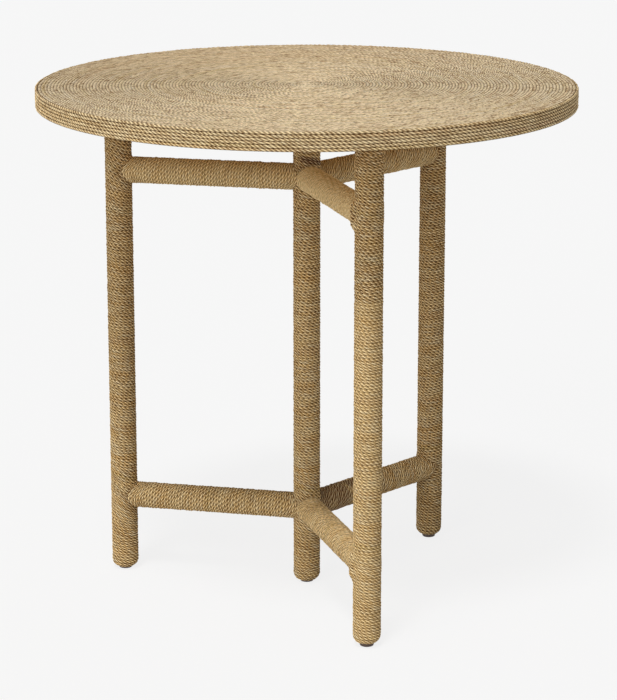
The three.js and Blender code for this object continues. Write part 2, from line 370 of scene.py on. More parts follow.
@dataclass
class Winding:
    """Cord laid turn beside turn over a core, as one closed skin.

    A grid of columns round the core and rows across the turns is laid on the core. Row by row it
    follows the cord, so a crest or a valley of the cord always has its own row of corners.

    Attributes:
        cord: The cord that is wound.
        wander: How far a turn strays from its place.
        slack: How much lower a turn may lie than its neighbours, as a share of its height.
        lay_drift: How far the twist runs ahead or behind, in strands.
        strand_slack: How much lower a strand may lie than the other, as a share of its height.
        tree: The node tree that winds a piece.
        closing_rows: Rows that lead from the last turn back under the winding to the first.
        steady_turns: Turns at an end in which the straying grows to its full size.
        stray_round: How fast turns stray round the core, in waves for each radian.
        stray_along: How fast they stray along the core, in waves a metre.
        drift_strands: Length of one wave of the twist's drift, in strands.
        sag_strands: Length of one wave of a turn's slack, in strands.
        seam_share: Share of a turn, from the side across from the seam, where the seam starts.
    """

    cord: Cord
    wander: float = 0.0009
    slack: float = 0.4
    lay_drift: float = 2.2
    strand_slack: float = 0.3
    tree: bpy.types.NodeTree = field(init=False)

    closing_rows = 4
    steady_turns = 3
    stray_round = 1.6
    stray_along = 160.0
    drift_strands = 14.0
    sag_strands = 30.0
    seam_share = 0.4999

    def __post_init__(self) -> None:
        """Builds the node tree once for all pieces."""
        self.tree = bpy.data.node_groups.new(type(self).__name__, "GeometryNodeTree")
        self.tree.is_modifier = True
        self.build()

    def sizes(self) -> dict[str, str]:
        """Named inputs for the sizes of the core."""
        raise NotImplementedError

    def end_turns(self, share: Wire) -> tuple[Wire, Wire, Wire]:
        """Turn numbers at the start, at the bend and at the end, for a share of the way round."""
        raise NotImplementedError

    def distance(self, turn: Wire, share: Wire) -> Wire:
        """Distance along the core's profile of a place across the turns."""
        raise NotImplementedError

    def lay_on(self, distance: Wire, share: Wire, height: Wire) -> bpy.types.NodeSocket:
        """Point over the core's profile."""
        raise NotImplementedError

    def strands_at(self, turn: Wire, share: Wire) -> Wire:
        """Strands passed along the cord, up to a share of the way round a whole turn."""
        raise NotImplementedError

    def drifted(self, strands: Wire) -> Wire:
        """The strands passed, with the twist now tighter and now looser."""
        place = self.graph.vector(strands / self.drift_strands, self.given["Seed"])
        return strands + (self.graph.noise(place, 1.0) - 0.5) * self.lay_drift

    def build(self) -> None:
        """Wires the tree."""
        g = self.graph = Graph(self.tree)
        self.given = g.inputs({"Geometry": "Geometry", **WINDING_INPUTS, **self.sizes()})
        rows = self.given["Rows"]
        all_rows = rows + float(self.closing_rows)
        grid, share, row = self.grid(all_rows)
        closing = row - rows
        turn, ends = self.turn_at(row, closing, share)
        place = self.distance(turn, share)
        relief = self.closed(self.relief(turn, share), place)
        # The last row closes the skin at the height of the first, the others lie on the core
        under = closing.above(0.5) * (self.closing_rows - 0.5 - closing).above(0.0)
        height = under.mix(relief, -self.cord.half)
        point = self.lay_on(place + self.stray(place, share, ends), share, height)

        moved = g.add("GeometryNodeSetPosition", {"Geometry": grid, "Position": point})
        mesh = self.mapped(moved.outputs[0], turn, share, row / all_rows)
        shaded = {"Geometry": mesh, "Selection": rows - row - 0.5, "Shade Smooth": True}
        smooth = g.add("GeometryNodeSetShadeSmooth", shaded)
        welding = {"Geometry": smooth.outputs[0], "Distance": WELD_DISTANCE}
        welded = g.add("GeometryNodeMergeByDistance", welding)
        real = g.add("GeometryNodeRealizeInstances", {"Geometry": self.finished(welded.outputs[0])})
        dressed = {"Geometry": real.outputs[0], "Material": self.given["Material"]}
        g.outputs({"Geometry": ("Geometry", g.add("GeometryNodeSetMaterial", dressed).outputs[0])})

    def grid(self, all_rows: Wire) -> tuple[bpy.types.NodeSocket, Wire, Wire]:
        """Flat grid that becomes the skin.

        Args:
            all_rows: Its rows, with those that close the skin.

        Returns:
            The grid, each corner's share of the way round the core, and its row.
        """
        g = self.graph
        feeds = {"Size X": 1.0, "Size Y": 1.0}
        feeds["Vertices X"] = self.given["Columns"] + 1.0
        feeds["Vertices Y"] = all_rows + 1.0
        grid = g.add("GeometryNodeMeshGrid", feeds)
        kept = g.add("GeometryNodeCaptureAttribute", domain="POINT")
        kept.capture_items.new("VECTOR", "Grid")
        g.feed(kept.inputs["Geometry"], grid.outputs[0])
        g.feed(kept.inputs["Grid"], g.add("GeometryNodeInputPosition").outputs[0])
        x, y, _ = g.parts(kept.outputs["Grid"])
        return kept.outputs[0], x + 0.5, ((y + 0.5) * all_rows).rounded()

    def turn_at(self, row: Wire, closing: Wire, share: Wire) -> tuple[Wire, tuple[Wire, Wire]]:
        """Place of a row, counted in turns, and clipped to the winding's ends.

        Args:
            row: Number of the row.
            closing: The same, counted from the last row that shows.
            share: Share of the way round the core.

        Returns:
            The turn, and the turns at which the winding starts and ends.
        """
        start, bend, end = self.end_turns(share)
        free = self.given["First Turn"] + row / self.given["Rows per Turn"]
        turn = free.most(start).least(end)
        for number, corner in enumerate((end, bend, start)):
            turn = closing.above(number + 0.5).mix(turn, corner)
        return turn, (start, end)

    def stray(self, place: Wire, share: Wire, ends: tuple[Wire, Wire]) -> Wire:
        """How far a turn lies from its place.

        Args:
            place: Distance along the core's profile.
            share: Share of the way round the core.
            ends: Turns at which the winding starts and ends.

        Returns:
            The distance, which is zero at the ends.
        """
        g = self.graph
        angle = share * (2 * math.pi)
        x, y = angle.cosine() * self.stray_round, angle.sine() * self.stray_round
        loose = g.vector(x, y, place * self.stray_along + self.given["Seed"])
        steady = self.steady_turns * self.cord.pitch
        fade = (self.end_gap(place, *ends, share) / steady).most(0.0).least(1.0)
        return (g.noise(loose, 1.0) - 0.5) * (2 * self.wander) * fade

    def relief(self, turn: Wire, share: Wire) -> Wire:
        """Height of the cord's surface over its middle.

        Args:
            turn: Place across the turns.
            share: Share of the way round the core.

        Returns:
            The height, lower where the cord or one of its strands is slack.
        """
        g = self.graph
        cord = self.cord
        seed = self.given["Seed"]
        whole = turn.floor()
        across = (turn - whole) * 2.0 - 1.0
        strands = self.drifted(self.strands_at(whole, share))
        number = strand_number(strands, across, cord.lean, cord.bow)
        relief = strand_relief(number, across, cord.roundness, cord.groove_depth) * cord.half
        at_seam = (share - 0.5).size().above(self.seam_share)
        chance = at_seam.mix(g.dice(g.vector(number.floor(), seed)), 0.5)
        sag = g.noise(g.vector(strands / self.sag_strands, seed + 5.0), 1.0)
        return relief * (1.0 - sag * self.slack) * (1.0 - chance * self.strand_slack)

    def mapped(
        self, mesh: bpy.types.NodeSocket, turn: Wire, share: Wire, row_share: Wire
    ) -> bpy.types.NodeSocket:
        """Stores the cord's own map, the bake's, and how pale and how stained the cord is.

        Args:
            mesh: The skin.
            turn: Place across the turns.
            share: Share of the way round the core.
            row_share: Share of all rows.

        Returns:
            The skin with these.
        """
        g = self.graph
        on_face = g.add("GeometryNodeFieldOnDomain", {0: turn}, data_type="FLOAT", domain="FACE")
        whole = Wire(g, on_face.outputs[0]).floor()
        strands = self.drifted(self.strands_at(whole, share))
        maps = {CORD_MAP: g.vector(strands, turn), BAKE_MAP: g.vector(share, row_share)}
        for name, value in maps.items():
            mesh = self.stored(mesh, name, value, "FLOAT2", "CORNER")
        mesh = self.stored(mesh, TONE, self.tone(turn, share), "FLOAT", "POINT")
        return self.stored(mesh, STAIN, self.stain(turn, share), "FLOAT", "POINT")

    def stored(
        self, mesh: bpy.types.NodeSocket, name: str, value: Any, kind: str, domain: str
    ) -> bpy.types.NodeSocket:
        """Keeps a value with the mesh.

        Args:
            mesh: The mesh.
            name: Name of the value.
            value: The value.
            kind: Blender's name for its type.
            domain: Part of the mesh that it is kept on.

        Returns:
            The mesh with the value.
        """
        feeds = {"Geometry": mesh, "Name": name, "Value": value}
        options = {"data_type": kind, "domain": domain}
        return self.graph.add("GeometryNodeStoreNamedAttribute", feeds, **options).outputs[0]

    def end_gap(self, place: Wire, start: Wire, end: Wire, share: Wire) -> Wire:
        """Distance to the nearest end, where no turn strays.

        Args:
            place: Distance along the core's profile.
            start: Turn at which the winding starts.
            end: Turn at which it ends.
            share: Share of the way round the core.

        Returns:
            The distance.
        """
        low = self.distance(start, share)
        high = self.distance(end, share)
        return (place - low).least(high - place)

    def closed(self, relief: Wire, place: Wire) -> Wire:
        """The cord's height, drawn to one point where the turns start from an axis."""
        return relief

    def stain(self, turn: Wire, share: Wire) -> Term:
        """How dark and rosy the cord is from handling, up to one."""
        return 0.0

    def tone(self, turn: Wire, share: Wire) -> Wire:
        """How pale the cord is, or how brown where it is under zero."""
        return self.given["Tone"]

    def finished(self, mesh: bpy.types.NodeSocket) -> bpy.types.NodeSocket:
        """Last change to the mesh, before it gets its material."""
        return mesh

    def make(self, name: str, values: dict[str, Any], place: Matrix) -> bpy.types.Object:
        """Winds one piece.

        Args:
            name: The piece's name.
            values: The tree's inputs by name.
            place: Where the core stands.

        Returns:
            The piece, as a plain mesh in place.
        """
        carrier = bpy.data.objects.new(f"{name}_carrier", bpy.data.meshes.new(f"{name}_carrier"))
        bpy.context.scene.collection.objects.link(carrier)
        modifier = carrier.modifiers.new("winding", "NODES")
        modifier.node_group = self.tree
        for item in self.tree.interface.items_tree:
            if item.in_out == "INPUT" and item.name in values:
                modifier[item.identifier] = values[item.name]
        graph = bpy.context.evaluated_depsgraph_get()
        mesh = bpy.data.meshes.new_from_object(carrier.evaluated_get(graph))
        bpy.data.objects.remove(carrier)
        mesh.name = name
        mesh.transform(place)
        mesh.uv_layers[BAKE_MAP].active_render = True
        piece = bpy.data.objects.new(name, mesh)
        bpy.context.scene.collection.objects.link(piece)
        return piece


SLEEVE_INPUTS = (
    "Radius", "Length", "Start", "Reach", "Cope Radius", "Mitre",
    "Foot Arc", "Foot Mouth", "Foot Height", "Foot Centre",
    "Rails", "Rail Angle", "Rail Low", "Rail High", "Bulge", "Bulge Reach",
    "Slope", "Tilt", "Tilt Angle", "Strands per Turn",
    "Stain", "Stain Reach", "Stain Angle", "Stain Level", "Splice", "Next Tone",
)


class SleeveWinding(Winding):
    """Turns on a straight dowel along Z, rounded in at a foot or fanned out to meet posts.

    Towards a post the rows follow the saddle where the two meet. On a post the turns tilt at each
    joint, where the cord passes from over a rail to under it, and bulge where it ties the rail.

    Attributes:
        fan: Length in which the rows bend from straight to the saddle.
        tilt_reach: Height over and under a rail in which its tilt fades out.
        tilt_wave: Length at a dowel's ends in which the turns go from level to tilted.
        drift_tilt: Slope that comes and goes along a dowel.
        drift_rate: How fast it does so, in waves a metre.
        crease_width: Width of the painted shade in the crease where a rail meets a post.
        crease_core: Width of its darkest part.
        rail_crease_shade: How dark the painted shade of the crease is on the rail.
        post_crease_shade: How dark it is on the post.
        tie_core: Share of a tie's height that has its full thickness.
        tie_sides: Cosines from the rail between which a tie grows to that.
        patch_core: Share of a patch that has its full shade.
        patch_sides: Cosines from its middle between which it grows to that.
        patch_round: How fast the patch frays round the dowel, in waves for each radian.
        patch_rate: How many times faster it frays along a metre of the dowel than along a radian.
        patch_levels: Levels of the fraying between which the patch sets in.
    """

    fan = 0.038
    tilt_reach = 0.075
    tilt_wave = 0.07
    drift_tilt = 0.22
    drift_rate = 14.0
    crease_width = 0.0034
    crease_core = 0.0008
    rail_crease_shade = 0.8
    post_crease_shade = 0.35
    tie_core = 0.5
    tie_sides = (-0.1, 0.45)
    patch_core = 0.6
    patch_sides = (0.0, 0.4)
    patch_round = 1.2
    patch_rate = 40.0
    patch_levels = (0.3, 0.45)

    def sizes(self) -> dict[str, str]:
        """Named inputs for the dowel, its ends and its joints."""
        return dict.fromkeys(SLEEVE_INPUTS, "Float")

    def angle(self, share: Wire) -> Wire:
        """Angle round the dowel."""
        return share * (2 * math.pi) + SEAM_ANGLE

    def end_turns(self, share: Wire) -> tuple[Wire, Wire, Wire]:
        """Turn numbers at which a dowel's winding starts, bends and ends.

        Args:
            share: Share of the way round the dowel.

        Returns:
            The first turn, the end of the foot, and the last turn.
        """
        given = self.given
        pitch = self.cord.pitch
        start = given["Start"] / pitch + share
        bend = (given["Foot Arc"] / pitch + share).most(start)
        return start, bend, given["Length"] / pitch + share

    def distance(self, turn: Wire, share: Wire) -> Wire:
        """Distance along the dowel, which the turns pass as they go round it.

        Args:
            turn: Place across the turns.
            share: Share of the way round the dowel.

        Returns:
            The distance, fanned at the coped ends.
        """
        given = self.given
        even = (turn - share) * self.cord.pitch
        side = self.angle(share).sine() * given["Radius"]
        cope = given["Cope Radius"]
        saddle = (cope * cope - side * side).root()
        first = saddle.most(side.size() * given["Mitre"]) - given["Start"]
        last = given["Reach"] - saddle - given["Length"]
        near = even.ramp(given["Start"] + self.fan, given["Start"])
        far = even.ramp(given["Length"] - self.fan, given["Length"])
        return even + first * near + last * far

    def strands_at(self, turn: Wire, share: Wire) -> Wire:
        """Strands passed, at an even number of them a turn."""
        return (share - turn) * self.given["Strands per Turn"]

    def rail_height(self, level: Wire) -> Wire:
        """Height over or under the middle of the rails, on the nearer of their two levels.

        Args:
            level: Height on the post.

        Returns:
            The height, without a sign.
        """
        low = (level - self.given["Rail Low"]).size()
        high = (level - self.given["Rail High"]).size()
        return low.least(high)

    def rail_facing(self, share: Wire) -> Wire:
        """How far a side of the post faces a rail.

        Args:
            share: Share of the way round the post.

        Returns:
            Cosine of the angle from the nearest rail.
        """
        given = self.given
        rails = given["Rails"]
        turned = (self.angle(share) - given["Rail Angle"]) * rails / (2 * math.pi)
        nearest = (turned + 0.5).fraction() - 0.5
        return (nearest * (2 * math.pi) / rails).cosine()

    def rail_gap(self, level: Wire, share: Wire) -> Wire:
        """Height from a place on the post to the skin of the nearest rail.

        Args:
            level: Height on the post.
            share: Share of the way round it.

        Returns:
            The height, which is zero inside the rail.
        """
        skin = self.rail_facing(share).most(0.0) * (self.given["Radius"] + self.cord.half)
        return (self.rail_height(level) - skin).most(0.0)

    def bulge(self, level: Wire, share: Wire) -> Wire:
        """Extra cord that ties a rail's end to its leg.

        Args:
            level: Height on the post.
            share: Share of the way round it.

        Returns:
            Its thickness.
        """
        reach = self.given["Bulge Reach"]
        near = self.rail_height(level).ramp(reach, reach * self.tie_core)
        return near * self.rail_facing(share).ramp(*self.tie_sides) * self.given["Bulge"]

    def stain(self, turn: Wire, share: Wire) -> Wire:
        """A dark patch on a post, or a dark length at the start of a rail.

        Args:
            turn: Place across the turns.
            share: Share of the way round the dowel.

        Returns:
            How dark it is.
        """
        g = self.graph
        given = self.given
        place = self.distance(turn, share)
        on_post = given["Rails"].above(0.5)
        away = (self.level(place) - given["Stain Level"]).size()
        gap = on_post.mix(place, away)
        reach = given["Stain Reach"]
        angle = self.angle(share)
        beside = (angle - given["Stain Angle"]).cosine().ramp(*self.patch_sides)
        beside = on_post.mix(1.0, beside)
        frayed = place * self.patch_rate + given["Seed"]
        patch = g.noise(g.vector(angle.cosine(), angle.sine(), frayed), self.patch_round)
        spread = patch.ramp(*self.patch_levels)
        return gap.ramp(reach, reach * self.patch_core) * beside * spread * given["Stain"]

    def level(self, place: Wire) -> Wire:
        """Height on a post, for a distance along its profile."""
        return place + self.given["Foot Centre"] - self.given["Foot Arc"]

    def tone(self, turn: Wire, share: Wire) -> Wire:
        """Tone of each length of cord, with painted shade in the crease where a rail meets a post.

        Args:
            turn: Place across the turns.
            share: Share of the way round the dowel.

        Returns:
            How pale the cord is, or how brown where it is under zero.
        """
        given = self.given
        place = self.distance(turn, share)
        on_post = given["Rails"].above(0.5)
        turned_away = 1.0 - self.rail_facing(share).above(0.0)
        post_gap = self.rail_gap(self.level(place), share) + turned_away
        even = (turn - share) * self.cord.pitch
        rail_gap = (even - given["Start"]).least(given["Length"] - even)
        # Painted shade: the cord is browned in the crease where a rail meets a post.
        crease = on_post.mix(rail_gap, post_gap).ramp(self.crease_width, self.crease_core)
        length = turn.above(given["Splice"]).mix(given["Tone"], given["Next Tone"])
        return length - crease * on_post.mix(self.rail_crease_shade, self.post_crease_shade)

    def lay_on(self, distance: Wire, share: Wire, height: Wire) -> bpy.types.NodeSocket:
        """Point on the straight of the dowel or round its foot.

        Args:
            distance: Distance along the dowel's profile.
            share: Share of the way round it.
            height: Height over the cord's middle.

        Returns:
            The point.
        """
        g = self.graph
        given = self.given
        arc = given["Foot Arc"]
        bend = (1.0 - distance / arc).most(0.0).least(1.0) * (math.pi / 2)
        inward = bend.cosine()
        down = bend.sine()
        mouth = given["Foot Mouth"]
        radius = mouth + (given["Radius"] - mouth) * inward + inward * height
        drop = down * (given["Foot Height"] + height)
        level = given["Foot Centre"] - drop + (distance - arc).most(0.0)
        angle = self.angle(share)
        rise = (distance - arc).most(0.0).least(given["Length"] - distance)
        free = (rise / self.tilt_wave).most(0.0).least(1.0)
        drift = g.noise(g.vector(level * self.drift_rate, given["Seed"], 3.0), 1.0) - 0.5
        tilt = self.rail_height(level).ramp(self.tilt_reach, 0.0) * given["Tilt"]
        lean = tilt + drift * self.drift_tilt + given["Slope"]
        swing = (angle - given["Tilt Angle"]).sine() * given["Radius"] * lean * free
        level = level - swing
        radius = radius + self.bulge(level, share)
        return g.vector(radius * angle.cosine(), radius * angle.sine(), level)


class DiscWinding(Winding):
    """Turns in a flat spiral over the top, carried on over its edge and down its rim.

    Attributes:
        eye: Radius in which the first turn starts.
        late_turns: Turns before the edge between which the step to the next row moves to the back.
        back_shade: How dark the painted shade at the back is.
        back_reach: Distances from the middle towards the back between which it grows so.
    """

    eye = 0.001
    late_turns = (24.0, 2.0)
    back_shade = 0.3
    back_reach = (-0.05, 0.34)

    def sizes(self) -> dict[str, str]:
        """Named inputs for the disc's edge and for the ring of turns that is wound."""
        names = ("Edge Radius", "Edge Height", "Edge Turn", "Last Turn", "Bend Turn", "Rim Turns")
        return dict.fromkeys(names, "Float")

    def climb(self, turn: Wire, share: Wire) -> Wire:
        """Share of a row that the cord has stepped over.

        Args:
            turn: Place across the turns.
            share: Share of the way round the disc.

        Returns:
            The share, which grows steadily inside and at the back near the edge.
        """
        late = share.ramp(1.0 - CLIMB_SHARE, 1.0)
        first, last = (self.given["Edge Turn"] - turns for turns in self.late_turns)
        return turn.ramp(first, last).mix(share, late)

    def end_turns(self, share: Wire) -> tuple[Wire, Wire, Wire]:
        """Turn numbers at which a ring starts, bends and ends, each on a circle.

        Args:
            share: Share of the way round the disc.

        Returns:
            The ring's inner edge, the bend at the table's edge, and the ring's outer edge.
        """
        given = self.given
        centre = given["Edge Turn"] - given["Edge Radius"] / self.cord.pitch + share
        start, level, end = (
            given[name] + self.climb(given[name], share)
            for name in ("First Turn", "Bend Turn", "Last Turn")
        )
        start = start.most(centre)
        return start, level.most(start), end.most(start)

    def distance(self, turn: Wire, share: Wire) -> Wire:
        """Distance from the axis along the top and on down the rim.

        Args:
            turn: Place across the turns.
            share: Share of the way round the disc.

        Returns:
            The distance.
        """
        given = self.given
        stepped = turn - self.climb(turn, share) - given["Edge Turn"]
        return (stepped * self.cord.pitch + given["Edge Radius"]).most(0.0)

    def strands_at(self, turn: Wire, share: Wire) -> Wire:
        """Strands passed along the spiral.

        Args:
            turn: Number of the turn.
            share: Share of the way round the disc.

        Returns:
            The strands, counted down from the middle outwards.
        """
        left = (turn - share).most(0.0)
        length = left * (left + 1.0) * (math.pi * self.cord.pitch)
        return length * (-1.0 / self.cord.strand_length)

    def end_gap(self, place: Wire, start: Wire, end: Wire, share: Wire) -> Wire:
        """Distance to the axis, to the table's edge or to the rim's end, for all rings alike.

        Args:
            place: Distance along the profile.
            start: Turn at which the ring starts, which is not used.
            end: Turn at which it ends, which is not used.
            share: Share of the way round the disc, which is not used.

        Returns:
            The smallest of the three.
        """
        edge = self.given["Edge Radius"] - self.cord.pitch / 2
        rim_end = edge + self.given["Rim Turns"] * self.cord.pitch
        return place.least((place - edge).size()).least(rim_end - place)

    def closed(self, relief: Wire, place: Wire) -> Wire:
        """Draws the first turn's start to one point on the axis."""
        return (place / self.eye).least(1.0).mix(self.cord.half / 2, relief)

    def tone(self, turn: Wire, share: Wire) -> Wire:
        """How pale the cord is, with painted shade that browns the back more than the front."""
        # Painted shade: the top is browned towards the back.
        back = (share * (2 * math.pi)).cosine() * self.distance(turn, share)
        return self.given["Tone"] - back.ramp(*self.back_reach) * self.back_shade

    def lay_on(self, distance: Wire, share: Wire, height: Wire) -> bpy.types.NodeSocket:
        """Point on the top, round the edge or on the rim.

        Args:
            distance: Distance from the axis along the top and down the rim.
            share: Share of the way round the disc.
            height: Height over the cord's middle.

        Returns:
            The point.
        """
        given = self.given
        across = distance - given["Edge Radius"]
        bend = (across / self.cord.pitch + 0.5).most(0.0).least(1.0) * (math.pi / 2)
        ahead = bend.cosine()
        down = bend.sine()
        radius = (given["Edge Radius"] + across * ahead + height * down).most(0.0)
        level = given["Edge Height"] + height * ahead - across * down
        angle = share * (2 * math.pi) + SEAM_ANGLE
        return self.graph.vector(radius * angle.cosine(), radius * angle.sine(), level)

    def finished(self, mesh: bpy.types.NodeSocket) -> bpy.types.NodeSocket:
        """Turns the faces outwards."""
        return self.graph.add("GeometryNodeFlipFaces", {"Mesh": mesh}).outputs[0]


# Finishes


def colour(red: int, green: int, blue: int) -> tuple[float, float, float, float]:
    """Linear colour from one that is given as it looks on a screen.

    Args:
        red: Its red, up to 255.
        green: Its green.
        blue: Its blue.

    Returns:
        Its three parts and a full alpha.
    """

    def straight(value: int) -> float:
        """One part of the colour without the screen's curve."""
        share = value / 255
        return share / 12.92 if share <= 0.04045 else ((share + 0.055) / 1.055) ** 2.4

    return (straight(red), straight(green), straight(blue), 1.0)


def new_material(name: str) -> tuple[Graph, bpy.types.Node]:
    """Starts a material.

    Args:
        name: The material's name.

    Returns:
        Its tree, and its main shader, linked to the output.
    """
    material = bpy.data.materials.new(name)
    material.use_nodes = True
    graph = Graph(material.node_tree)
    return graph, material.node_tree.nodes["Principled BSDF"]


def blended(graph: Graph, share: Any, low: Any, high: Any) -> bpy.types.NodeSocket:
    """Blend of two colours, from the first where the share is zero to the second at one."""
    feeds = {0: share, 6: low, 7: high}
    return graph.add("ShaderNodeMix", feeds, data_type="RGBA").outputs[2]


def local_place(graph: Graph) -> bpy.types.NodeSocket:
    """Place in the piece's own frame."""
    return graph.add("ShaderNodeTexCoord").outputs["Object"]


def emboss(
    graph: Graph, shader: bpy.types.Node, height: Wire, strength: float, distance: float
) -> None:
    """Lets a height show in a shader's normals.

    Args:
        graph: The material's tree.
        shader: Its main shader.
        height: The height.
        strength: How strongly it shows.
        distance: Length that a height of one stands for.
    """
    feeds = {"Strength": strength, "Distance": distance, "Height": height}
    graph.feed(shader.inputs["Normal"], graph.add("ShaderNodeBump", feeds).outputs[0])


class SharedPattern:
    """A pattern that several materials share, as a shader node group.

    Attributes:
        name: The group's name.
        sockets: Kind of each of its inputs by name.
    """

    name: str
    sockets: dict[str, str]

    def __init__(self) -> None:
        """Builds the group once for all materials."""
        self.tree = bpy.data.node_groups.new(self.name, "ShaderNodeTree")
        graph = Graph(self.tree)
        graph.outputs(self.wired(graph, graph.inputs(self.sockets)))

    def wired(self, g: Graph, given: dict[str, Wire]) -> dict[str, tuple[str, Any]]:
        """Wires the group and gives its outputs, each a kind and what feeds it."""
        raise NotImplementedError

    def use(self, graph: Graph, values: dict[str, Any]) -> dict[str, Wire]:
        """Puts the group into a material.

        Args:
            graph: The material's tree.
            values: What goes into the group's inputs, by name.

        Returns:
            A wire from each of its outputs, by name.
        """
        node = graph.add("ShaderNodeGroup", values, node_tree=self.tree)
        return {output.name: Wire(graph, output) for output in node.outputs}


class CordPattern(SharedPattern):
    """Strands, gaps and colours of grass cord, drifting from one length to the next, with painted
    shade in the gaps and a painted highlight on the strands.

    Attributes:
        green: Colour of grass that was cut young.
        rosy: Colour of grass that has reddened.
        brown: Colour of old grass, and of the painted shade where the tone is under zero.
        stained: Colour of soaked or handled cord.
        groove: Colour of the painted shade deep between the strands.
        crest: Colour of the painted highlight on top of a strand, and of single brighter strands.
        fresh: Colour of the palest lengths, and of the painted light on the pale rails.
        drift_strands: Length of one wave from straw to pale, in strands.
        drift_levels: Levels of that wave between which the colour changes.
        tint_strands: Length of one wave from green to rosy, in strands.
        green_levels: Levels of that wave between which the cord turns green.
        green_share: How green it gets.
        rosy_levels: Levels between which it turns rosy.
        rosy_share: How rosy it gets.
        brown_start: Chance from which a single strand is browner.
        brown_rise: How fast it gets so with its chance.
        bright_start: Chance from which a single strand is brighter.
        bright_rise: How fast it gets so with its chance.
        jitter: How far a strand's edge strays, in strands.
        jitter_rate: How fast it does so, in waves for each strand.
        jitter_height: How much the strand's height goes with it.
        row_step: Step in the noise from one row to the next.
        streak_rate: How fast the streaks change along the cord, in waves for each strand.
        streak_count: Streaks across a strand.
        streak_levels: Levels of the streaks between which they turn brown.
        streak_share: How brown they get.
        streak_height: Height of a streak.
        crest_highlight_share: How far the top of a strand takes the painted highlight.
        crest_sides: Places from a strand's middle between which that sets in.
        crest_rows: Places from the cord's middle between which it does.
        gap_sides: Places from a strand's middle between which the painted shade of the gap to the
            next one grows.
        gap_least: How dark that painted shade is on top of the cord, as a share of its darkest.
        gap_depth: How deep the gap is.
        gap_shade: How dark the darkest painted shade is.
        gap_fade: How much less dark it is on the palest lengths.
        pit_sides: Places from the cord's middle between which the painted shade of the gap to the
            next row grows.
    """

    name = "cord_pattern"
    sockets = {
        "Place": "Vector",
        "Tone": "Float",
        "Stain": "Float",
        "Straw": "Color",
        "Pale": "Color",
        "Half": "Float",
        "Lean": "Float",
        "Bow": "Float",
        "Roundness": "Float",
        "Groove Depth": "Float",
        "Strand Gap": "Float",
        "Row Gap": "Float",
        "Speckle": "Float",
    }
    green = colour(200, 168, 88)
    rosy = colour(212, 164, 124)
    brown = colour(142, 98, 48)
    stained = colour(110, 76, 66)
    groove = colour(66, 34, 2)
    crest = colour(255, 233, 187)
    fresh = colour(246, 213, 152)
    drift_strands = 90.0
    drift_levels = (0.25, 0.75)
    tint_strands = 60.0
    green_levels = (0.52, 0.75)
    green_share = 0.7
    rosy_levels = (0.48, 0.25)
    rosy_share = 0.6
    brown_start = 0.5
    brown_rise = 1.3
    bright_start = 0.6
    bright_rise = 2.0
    jitter = 0.35
    jitter_rate = 0.4
    jitter_height = 0.5
    row_step = 7.3
    streak_rate = 0.5
    streak_count = 9.0
    streak_levels = (0.5, 0.3)
    streak_share = 0.3
    streak_height = 0.0002
    crest_highlight_share = 0.72
    crest_sides = (0.5, 0.0)
    crest_rows = (1.0, 0.3)
    gap_sides = (0.25, 0.8)
    gap_least = 0.7
    gap_depth = 0.0006
    gap_shade = 0.97
    gap_fade = 0.5
    pit_sides = (0.55, 1.0)

    def wired(self, g: Graph, given: dict[str, Wire]) -> dict[str, tuple[str, Any]]:
        """Wires the group.

        Args:
            g: The group's tree.
            given: Its inputs by name, with the place in strands along the cord and rows across.

        Returns:
            The cord's colour, with its painted shade and highlight, and the height of its surface.
        """
        along, turns, _ = g.parts(given["Place"].socket)
        across = turns.fraction() * 2.0 - 1.0
        row = turns.floor()
        jitter = g.noise(g.vector(along * self.jitter_rate, row * self.row_step), 1.0) - 0.5
        number = strand_number(along, across, given["Lean"], given["Bow"])
        relief = strand_relief(number, across, given["Roundness"], given["Groove Depth"])
        number = number + jitter * self.jitter
        relief = relief * (jitter * self.jitter_height + 1.0)
        strand = number.floor()
        fibres = g.vector(along * self.streak_rate, number * self.streak_count, strand)
        streak = g.noise(fibres, 1.0, 2.0)
        base = self.strands(g, given, along, strand)
        base = blended(g, streak.ramp(*self.streak_levels) * self.streak_share, base, self.brown)
        tone = given["Tone"]
        # A tone over zero pales the cord, which on the rails is painted light; under zero it browns
        # it, which also carries painted shade.
        base = blended(g, tone.most(0.0), base, self.fresh)
        base = blended(g, (-tone).most(0.0), base, self.brown)
        base = blended(g, given["Stain"], base, self.stained)
        edge = (number.fraction() - 0.5).size() * 2.0
        # Painted highlight: the top of each strand is paled towards the crest colour.
        crest = edge.ramp(*self.crest_sides) * across.size().ramp(*self.crest_rows)
        base = blended(g, crest * self.crest_highlight_share, base, self.crest)
        # Painted shade: the gaps between strands and between rows are darkened towards the groove
        # colour.
        gap = edge.ramp(*self.gap_sides)
        pit = across.size().ramp(*self.pit_sides)
        between = gap * (pit * (1.0 - self.gap_least) + self.gap_least) * given["Strand Gap"]
        dark = (between + pit * given["Row Gap"]).least(1.0) * self.gap_shade
        dark = dark * (1.0 - tone.most(0.0) * self.gap_fade)
        base = blended(g, dark, base, self.groove)
        height = relief * given["Half"] - gap * gap * self.gap_depth + streak * self.streak_height
        return {"Colour": ("Color", base), "Height": ("Float", height)}

